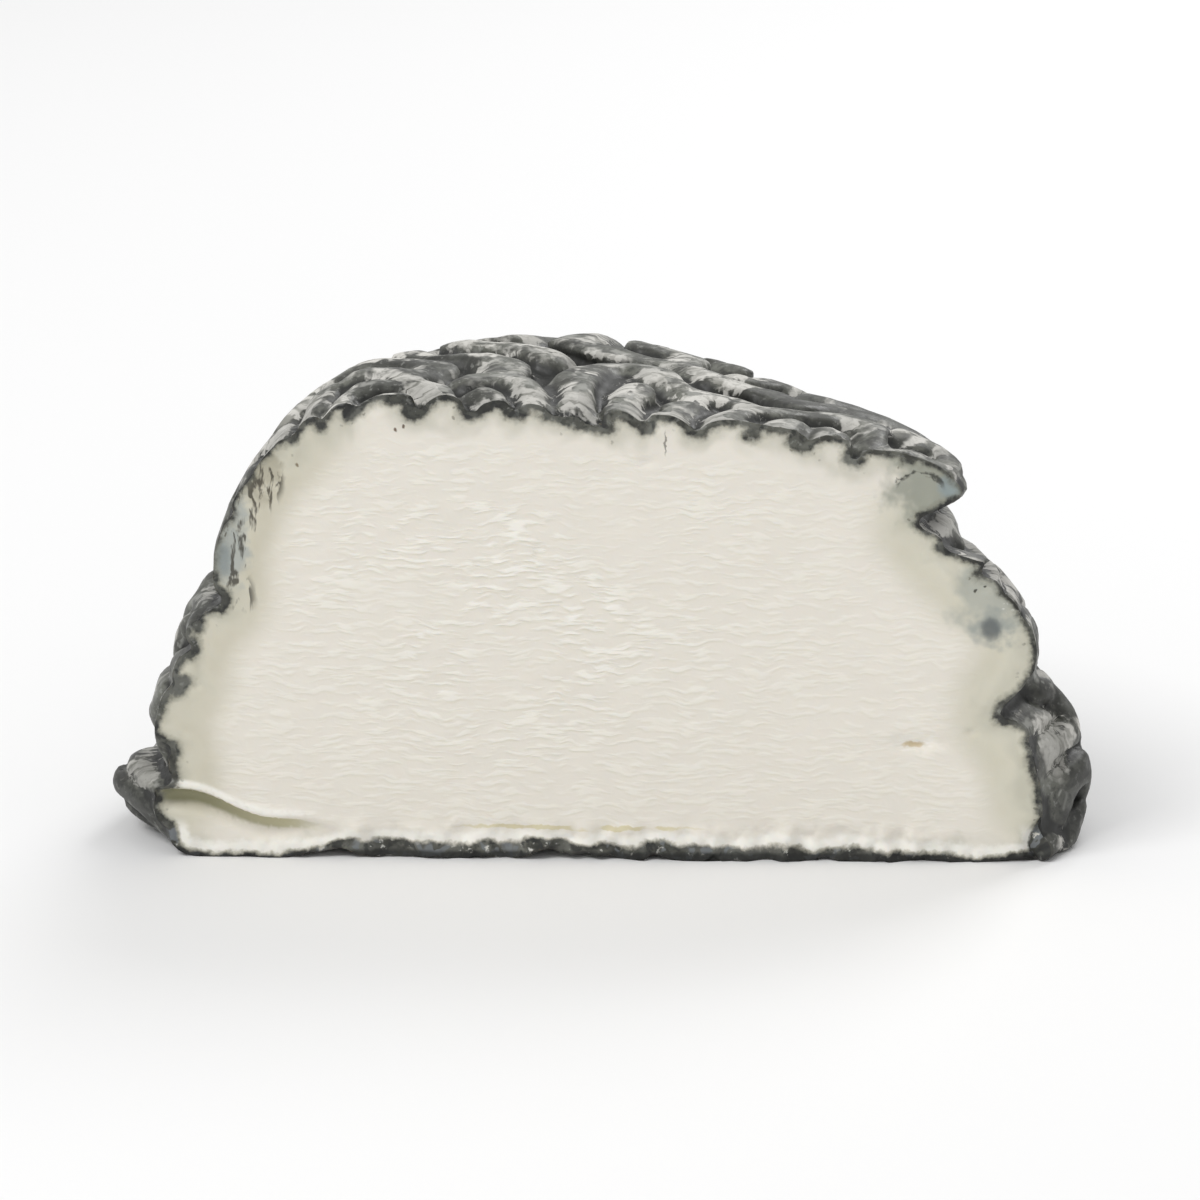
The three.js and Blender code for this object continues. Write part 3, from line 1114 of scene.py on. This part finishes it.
def make_rind():
    finish, tree, place, shader = new_finish("folded_ash_rind")
    extra = read(tree, "extra_mould")  # above 0 where mould is thick, below 0 where the skin is bare
    bare = slide(tree, extra, -0.1, -0.9)
    fold = math_node(tree, "MAXIMUM", read(tree, "fold"), times(tree, extra, 0.8))
    side = math_node(tree, "MAXIMUM", read(tree, "side"), extra)
    # darker towards the bottom of each crease: partly ash gathered there, partly painted shade
    crease = slide(tree, fold, 0.36, 0.05)
    ash = put(tree, "ShaderNodeGroup", {"Vector": place, "Crease": crease}, node_tree=charcoal_group)
    cover = slide(tree, read(tree, "faces_up"), -0.2, 0.9, -0.02, 0.1)
    cover = add(tree, cover, times(tree, extra, 0.14))
    mould = put(tree, "ShaderNodeGroup", {"Vector": place, "Crest": read(tree, "crest_place", "Vector"),
                "Fold": fold, "Side": side, "Cover": cover}, node_tree=mould_group)

    both_sides = slide(tree, math_node(tree, "ABSOLUTE", side), 0.5, 0.1)
    on_crest = times(tree, both_sides, slide(tree, fold, 0.8, 0.98))
    rubbed = times(tree, on_crest, slide(tree, grain(tree, place, 2.5 * MM), 0.5, 0.6, 0, 0.75))
    colour = blend(tree, rubbed, ash.outputs["Color"], RUBBED_ASH)
    colour = blend(tree, times(tree, bare, 0.5), colour, WET_ASH)
    thinned = minus(tree, 1.0, slide(tree, extra, 0.0, 1.0, 0, 0.5))
    colour = blend(tree, times(tree, mould.outputs["Mask"], thinned), colour, mould.outputs["Color"])

    moist = slide(tree, grain(tree, place, 2 * MM, 3.0), 0.35, 0.65, 0.38, 0.56)
    roughness = add(tree, moist, times(tree, mould.outputs["Mask"], DRY_MOULD))
    height = times(tree, mould.outputs["Height"], 0.5)
    height = add(tree, height, times(tree, ash.outputs["Height"], 0.6))
    bump = put(tree, "ShaderNodeBump", {"Height": height, "Distance": RIND_BUMP, "Strength": 0.7})
    fill(tree, shader, {"Base Color": colour, "Roughness": roughness, "Normal": bump.outputs["Normal"],
                        "Specular IOR Level": 0.5})
    return finish


rind = make_rind()
count_nodes(rind)

# %% [markdown]
# ## Ivory paste
#
# The firm middle is chalky white. Towards the flanks it has turned creamy and slightly glassy, warmer at
# first, then grey and here and there blue right under the mould. At the very edge the ash itself shows
# as a dark line of uneven width. A painted picture could hold all this, but it wouldn't follow the form.
# So the colours are laid over each other from the middle outwards, one layer to a cell, and every layer
# reads the same few measures.

# %% Measures on the cut face


def cut_measures(tree, place):
    """What every layer of the paste reads. Depths and places are in millimetres, made a little uneven."""
    cut = SimpleNamespace(place=place)
    cut.x, _, cut.z = put(tree, "ShaderNodeSeparateXYZ", {"Vector": place}).outputs
    cut.depth, cut.flank, cut.line = (read(tree, name) for name in ("under_skin", "at_flank", "ash_line"))
    cut.cloudy = grain(tree, place, 4 * MM, 2.0, 0.5)
    cut.fine = grain(tree, place, 0.7 * MM, 4.0)
    cut.soft_depth = add(tree, cut.depth, weigh(tree, (cut.cloudy, 5.0)))
    cut.ragged_line = add(tree, cut.line, weigh(tree, (cut.fine, 0.9), (cut.cloudy, 0.8)))
    cut.across = add(tree, times(tree, cut.x, 1 / MM), weigh(tree, (cut.fine, 0.6)))
    uneven = grain(tree, place, 1.1 * MM)
    cut.up = add(tree, times(tree, cut.z, 1 / MM), weigh(tree, (uneven, 0.8)))
    return cut


paste, paste_tree, paste_place, paste_shader = new_finish("ivory_paste")
cut = cut_measures(paste_tree, paste_place)
print(f"{len(paste_tree.nodes)} nodes measure the cut face")

# %% Helpers for the layers


def lay(layer, colour):
    """Lays one layer of the paste over the colour so far."""
    colour = layer(paste_tree, cut, colour)
    print(f"{layer.__name__}: {len(paste_tree.nodes)} nodes so far")
    return colour


def around(tree, cut, middle, reach):
    """Squared distance from a point of the cut face, 1 at an ellipse round it. All in millimetres."""
    across = math_node(tree, "DIVIDE", minus(tree, cut.across, middle[0]), reach[0])
    up = math_node(tree, "DIVIDE", minus(tree, cut.up, middle[1]), reach[1])
    return add(tree, times(tree, across, across), times(tree, up, up))


# %% [markdown]
# ## Firm paste and the blade's marks
#
# The blade pulls the paste along and leaves thin lips; their colour is a painted highlight on top and painted
# shade below. Noise drawn out sideways gives the lips, and the same noise, read a little higher up, gives the
# painted shade under each. Both fade out where the ripples of the mesh do, because they read the same value.

# %% Layer: firm paste
CHALK, DULL_CHALK = paint(238, 233, 223), paint(233, 228, 217)
LIT_LIP, LIP_SHADE = paint(249, 246, 238), paint(228, 223, 208)
LIP_DROP = 0.18 * MM  # the shade lies this far below its lip
DRAWN_OUT = 0.19  # the noise changes this much slower sideways than upwards


def drag_lips(tree, cut):
    """Masks of the thin lips that the blade pulled up, where a highlight is painted, and of the painted shade
    below each.
    """
    bend = times(tree, weigh(tree, (grain(tree, cut.place, 4.5 * MM), 2.0)), MM)
    bend = put(tree, "ShaderNodeCombineXYZ", {"Z": bend}).outputs[0]
    bent = put(tree, "ShaderNodeVectorMath", {0: cut.place, 1: bend}, operation="ADD").outputs[0]
    masks = []
    for drop in (0, LIP_DROP):
        drawn = put(tree, "ShaderNodeMapping",
                    {"Vector": bent, "Location": (0, 0, drop), "Scale": (DRAWN_OUT, 1, 1)})
        crest = slide(tree, grain(tree, drawn.outputs[0], 0.4 * MM, 1.5), 0.46, 0.66)
        masks.append(times(tree, crest, read(tree, "dragged")))
    return masks


def firm_paste(tree, cut, lip, shade):
    colour = blend(tree, cut.cloudy, CHALK, DULL_CHALK)
    # painted shade under each lip, then a painted highlight on the lip
    colour = blend(tree, shade, colour, LIP_SHADE)
    return blend(tree, lip, colour, LIT_LIP)


lip, shade = drag_lips(paste_tree, cut)
paste_colour = firm_paste(paste_tree, cut, lip, shade)
print(f"firm_paste: {len(paste_tree.nodes)} nodes so far")

# %% [markdown]
# ## Creamy zone
#
# The mould ripens the cheese from outside, so under the flanks the paste has turned soft and
# translucent. Its colour is set by depth under the skin. Cloudy noise is added to the depth first, or
# the zone would run beside the outline like a drawn band.

# %% Layer: creamy zone
CREAM, LIGHT_CREAM = paint(204, 200, 180), paint(216, 212, 194)
RIPE_CREAM, LIGHT_RIPE_CREAM = paint(196, 191, 170), paint(206, 201, 182)
PALE_CREAM = paint(227, 224, 210)
GLASSY_CREAM = paint(190, 188, 172)


def creamy_zone(tree, cut, colour):
    """Runs a few millimetres in from the flanks, further and riper on the left."""
    leftward = slide(tree, cut.x, -8 * MM, -24 * MM)
    riper = minus(tree, cut.soft_depth, times(tree, leftward, 1.5))
    creamy = times(tree, slide(tree, riper, CREAMY_DEPTH + 1.5, CREAMY_DEPTH - 1), cut.flank)
    cream = blend(tree, cut.cloudy, CREAM, LIGHT_CREAM)
    cream = blend(tree, leftward, cream, blend(tree, cut.cloudy, RIPE_CREAM, LIGHT_RIPE_CREAM))
    colour = blend(tree, creamy, colour, cream)
    pale = slide(tree, cut.soft_depth, CREAMY_DEPTH - 2, CREAMY_DEPTH - 4.5, 0, 0.4)
    colour = blend(tree, times(tree, pale, cut.flank), colour, PALE_CREAM)
    return blend(tree, slide(tree, cut.soft_depth, 2.6, 0.4, 0, 0.6), colour, GLASSY_CREAM)


paste_colour = lay(creamy_zone, paste_colour)

# %% [markdown]
# ## Stains
#
# Glassy lobes, blue mould, specks and a crumb pit each have one place of their own. An ellipse with a
# ragged edge does for all of them, so they are a list, and one loop lays them down.

# %% Layer: stains
# Middle and half sizes in millimetres (X, Z), strength, colour.
PASTE_STAINS = [
    ((35.2, 25.2), (4.2, 5), 0.55, (160, 166, 160)),  # glassy lobes on the right
    ((29.8, 36), (5, 5.2), 0.85, (150, 153, 141)),
    ((31.8, 36), (1.8, 2.2), 0.6, (138, 156, 164)),
    ((35.1, 22.3), (2.2, 2.3), 0.35, (110, 124, 130)),  # blue mould under the skin
    ((35.1, 22.3), (1.2, 1.3), 0.7, (70, 78, 84)),
    ((-33.2, 31), (2.2, 6.2), 0.6, (156, 166, 168)),
    ((-33.9, 28.4), (1.2, 2.2), 0.5, (98, 112, 118)),
    ((-30.4, 36.6), (2.2, 3.4), 0.55, (158, 152, 130)),
    ((28.5, 11.7), (2.1, 0.9), 0.5, (250, 248, 240)),  # a crumb pulled out
    # painted shade in the hollow of the pit
    ((28.3, 11.2), (1.3, 0.34), 0.7, (196, 172, 122)),
    ((5.8, 39.4), (0.12, 1.3), 0.7, (92, 90, 80)),  # ash dragged in by the blade
    ((-18.2, 40.6), (0.22, 0.2), 0.9, (96, 72, 48)),  # specks
    ((-17.4, 40.8), (0.18, 0.16), 0.9, (88, 70, 50)),
    ((-27, 37.2), (0.2, 0.28), 0.8, (110, 92, 60)),
    ((33.6, 26), (0.2, 0.18), 0.9, (56, 54, 44)),
    ((34.4, 26.3), (0.18, 0.14), 0.9, (56, 54, 44)),
]
LARGE_STAIN = 1.5  # from this half size up, a stain's edge is mottled


def stains(tree, cut, colour):
    mottle = weigh(tree, (cut.fine, 0.6), (grain(tree, cut.place, 2 * MM), 2.2))
    for middle, reach, share, tint in PASTE_STAINS:
        away = around(tree, cut, middle, reach)
        if min(reach) > LARGE_STAIN:
            away = add(tree, away, mottle)
        colour = blend(tree, slide(tree, away, 1.0, 0.1, 0, share), colour, paint(*tint))
    return colour


paste_colour = lay(stains, paste_colour)

# %% [markdown]
# ## Folds that closed inside
#
# Here and there a fold of the skin closed and grew into the paste, and the cut shows the ash it took
# along: an arc in the top lobe on one side, short streaks beside the other shoulder. The arc is half of
# an ellipse's edge, and the streaks are noise drawn out along the flank.

# %% Layer: closed folds
ARC_MIDDLE, ARC_REACH = (28.4, 35.2), (2.1, 1.7)  # a fold that closed in the top lobe
ARC_ASH = paint(40, 41, 37)
STROKES_MIDDLE, STROKES_REACH = (-32, 32.5), (4.4, 9.5)  # streaks of ash on the left shoulder
STROKE_TILT = -0.35  # the streaks run along the flank, this far (in radians) off upright
STROKE_ASH, STROKE_BROWN = paint(40, 42, 40), paint(84, 76, 60)


def closed_folds(tree, cut, colour):
    ring = minus(tree, around(tree, cut, ARC_MIDDLE, ARC_REACH), 1.0)
    ring = add(tree, math_node(tree, "ABSOLUTE", ring), weigh(tree, (cut.fine, -1.2)))
    upper_half = slide(tree, cut.up, ARC_MIDDLE[1] - 0.2, ARC_MIDDLE[1] + 0.9)
    colour = blend(tree, times(tree, slide(tree, ring, 0.3, 0.02), upper_half, 0.85), colour, ARC_ASH)

    drawn = put(tree, "ShaderNodeMapping",
                {"Vector": cut.place, "Rotation": (0, STROKE_TILT, 0), "Scale": (1, 1, 0.3)}).outputs[0]
    stroke = slide(tree, grain(tree, drawn, 0.9 * MM, 3.0, 0.4), 0.51, 0.59)
    inside = slide(tree, around(tree, cut, STROKES_MIDDLE, STROKES_REACH), 1.0, 0.7)
    stroke = times(tree, stroke, inside, slide(tree, cut.depth, 3.4, 2.4), 0.88)
    return blend(tree, stroke, colour, blend(tree, cut.cloudy, STROKE_ASH, STROKE_BROWN))


paste_colour = lay(closed_folds, paste_colour)

# %% [markdown]
# ## Painted lip shadow, painted glints and crumbs
#
# Freshly cut paste is wet. Under the lip at the foot a shadow is painted, with a painted highlight on the
# lip's ridge; small painted glints stand on the softest lobe; and crumbs of ash stick to the paste beside the
# dark line.

# %% Layer: painted lip shadow and highlight, painted glints, crumbs
# painted shadow under the lip, olive to pale, and a painted highlight on its ridge
DARK_LIP_SHADOW, PALE_LIP_SHADOW = paint(136, 134, 100), paint(196, 191, 156)
LIP_RIDGE_HIGHLIGHT = paint(248, 246, 239)
GLINTS_MIDDLE, GLINTS_REACH = (36.6, 26.6), (1.5, 3.4)  # painted glints on the wet right lobe
PAINTED_GLINT = paint(244, 245, 242)
CRUMB = paint(84, 80, 66)


def lip_shading_glints_and_crumbs(tree, cut, colour):
    shading_and_whey = read(tree, "shading_and_whey")
    # painted shadow below the lip at the foot, olive at the left and paler to the right
    lip_shadow = slide(tree, add(tree, shading_and_whey, weigh(tree, (cut.cloudy, 0.5))), 0.1, 0.9, 0, 0.9)
    lip_shadow_tint = blend(tree, slide(tree, cut.x, -39 * MM, -27 * MM), DARK_LIP_SHADOW, PALE_LIP_SHADOW)
    colour = blend(tree, lip_shadow, colour, lip_shadow_tint)
    # painted highlight on the lip's ridge
    colour = blend(tree, slide(tree, shading_and_whey, -0.15, -0.8, 0, 0.8), colour, LIP_RIDGE_HIGHLIGHT)
    # painted glints on the wet right lobe
    inside = slide(tree, around(tree, cut, GLINTS_MIDDLE, GLINTS_REACH), 1.0, 0.6)
    glints = times(tree, specks(tree, cut.place, 0.45 * MM, 0.3), inside, 0.7)
    colour = blend(tree, glints, colour, PAINTED_GLINT)
    crumbs = times(tree, specks(tree, cut.place, 0.5 * MM, 0.08), slide(tree, cut.ragged_line, 1.3, 0.2), 0.6)
    return blend(tree, crumbs, colour, CRUMB)


paste_colour = lay(lip_shading_glints_and_crumbs, paste_colour)

# %% [markdown]
# ## The ash line
#
# The skin is about half a millimetre thick, so the cut shows it as a dark, ragged line. Along the foot,
# where more ash gathered, the line is thicker and looks like fine gravel: black, with grey and white
# grains and white crumbs of paste above it.

# %% Colour of the ash on the cut
SMOKE, SOOT = paint(130, 131, 124), paint(30, 32, 32)
GRAVEL_GREY, GRAVEL_WHITE = paint(124, 129, 133), paint(206, 205, 198)
FOOT_SHADE = paint(26, 27, 25)


def ash_colour(tree, cut, gravel, crease):
    ash = put(tree, "ShaderNodeGroup", {"Vector": cut.place, "Crease": crease}, node_tree=charcoal_group)
    stony = grain(tree, cut.place, 1.5 * MM, 2.0, 0.4)
    colour = blend(tree, slide(tree, cut.cloudy, 0.46, 0.62, 0, 0.45), ash.outputs["Color"], SMOKE)
    colour = blend(tree, slide(tree, stony, 0.48, 0.38, 0, 0.7), colour, SOOT)
    colour = blend(tree, times(tree, slide(tree, stony, 0.56, 0.62), gravel, 0.7), colour, GRAVEL_GREY)
    colour = blend(tree, times(tree, slide(tree, cut.fine, 0.61, 0.69), gravel), colour, GRAVEL_WHITE)
    return blend(tree, slide(tree, cut.z, 1.0 * MM, 0.5 * MM, 0, 0.85), colour, FOOT_SHADE)


# %% Layer: the ash line
SMOKED_PASTE = paint(120, 120, 106)  # paste greyed by the ash beside it
CRUMBLED_PASTE = paint(250, 248, 241)
WHEY_LINE = paint(206, 194, 140)
WHEY_LINE_MIDDLE, WHEY_LINE_REACH = (-2, 3.1), (13, 0.28)


def ash_line(tree, cut, colour):
    gravel = slide(tree, cut.z, 4 * MM, 2.4 * MM)
    crease = slide(tree, cut.line, -0.3, 0.05, 0, 0.45)
    colour = blend(tree, slide(tree, cut.ragged_line, 0.6, 0.0, 0, 0.5), colour, SMOKED_PASTE)
    above = slide(tree, cut.ragged_line, 0.1, 0.5)
    above = times(tree, above, slide(tree, cut.ragged_line, 1.6, 0.8), gravel, 0.8)
    colour = blend(tree, above, colour, CRUMBLED_PASTE)
    shading_and_whey = slide(tree, around(tree, cut, WHEY_LINE_MIDDLE, WHEY_LINE_REACH), 1.0, 0.3)
    colour = blend(tree, times(tree, shading_and_whey, slide(tree, cut.cloudy, 0.4, 0.52), 0.6), colour, WHEY_LINE)
    ball_x, ball_z, ball_half = FOOT_BALL
    ball = slide(tree, around(tree, cut, (ball_x, ball_z), (ball_half, ball_half)), 1.15, 0.95)
    in_line = math_node(tree, "MAXIMUM", slide(tree, cut.ragged_line, 0.22, -0.22), ball)
    return blend(tree, in_line, colour, ash_colour(tree, cut, gravel, crease))


paste_colour = lay(ash_line, paste_colour)

# %% [markdown]
# ## The paste's surface
#
# Chalky paste is dull and creamy paste is moist. Light goes a little way into both and comes out warmer,
# so the finish scatters it under the surface. The drag marks are too fine for the mesh alone, so a bump
# adds their sharp lips to the ripples that the mesh already has.

# %% Finish: ivory paste
MOIST, CHALKY = 0.34, 0.6  # roughness
LIP_BUMP = 0.14 * MM
SCATTER_DEPTH = 0.5 * MM

dullness = slide(paste_tree, cut.soft_depth, 1.5, 6.5, MOIST, CHALKY)
relief = add(paste_tree, times(paste_tree, lip, 0.5), weigh(paste_tree, (cut.fine, 0.25)))
bump = put(paste_tree, "ShaderNodeBump", {"Height": relief, "Distance": LIP_BUMP, "Strength": 0.85})
fill(paste_tree, paste_shader, {
    "Base Color": paste_colour, "Roughness": dullness, "Normal": bump.outputs["Normal"],
    "Subsurface Weight": 0.2, "Subsurface Radius": (1.0, 0.8, 0.55), "Subsurface Scale": SCATTER_DEPTH,
    "Specular IOR Level": 0.4})
count_nodes(paste)

# %% [markdown]
# ## Two finishes on one piece
#
# Rind and paste are one body, so they stay one mesh and each face says which finish it has. The faces of
# the skin come first in the mesh and those of the cut after them, so their order is enough to tell them
# apart.

# %% Two finishes on one piece
whole.materials.append(rind)
whole.materials.append(paste)
finish_of_face = np.zeros(len(whole.polygons), int)
finish_of_face[len(skin_faces):] = 1
whole.polygons.foreach_set("material_index", finish_of_face)
whole.polygons.foreach_set("use_smooth", np.ones(len(whole.polygons), bool))
whole.update()
whole.calc_loop_triangles()
print(f"{len(whole.loop_triangles)} triangles in all")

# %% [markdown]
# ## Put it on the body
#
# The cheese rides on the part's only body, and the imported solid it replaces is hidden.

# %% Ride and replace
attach(cheese, "root")
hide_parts("cheese_half")
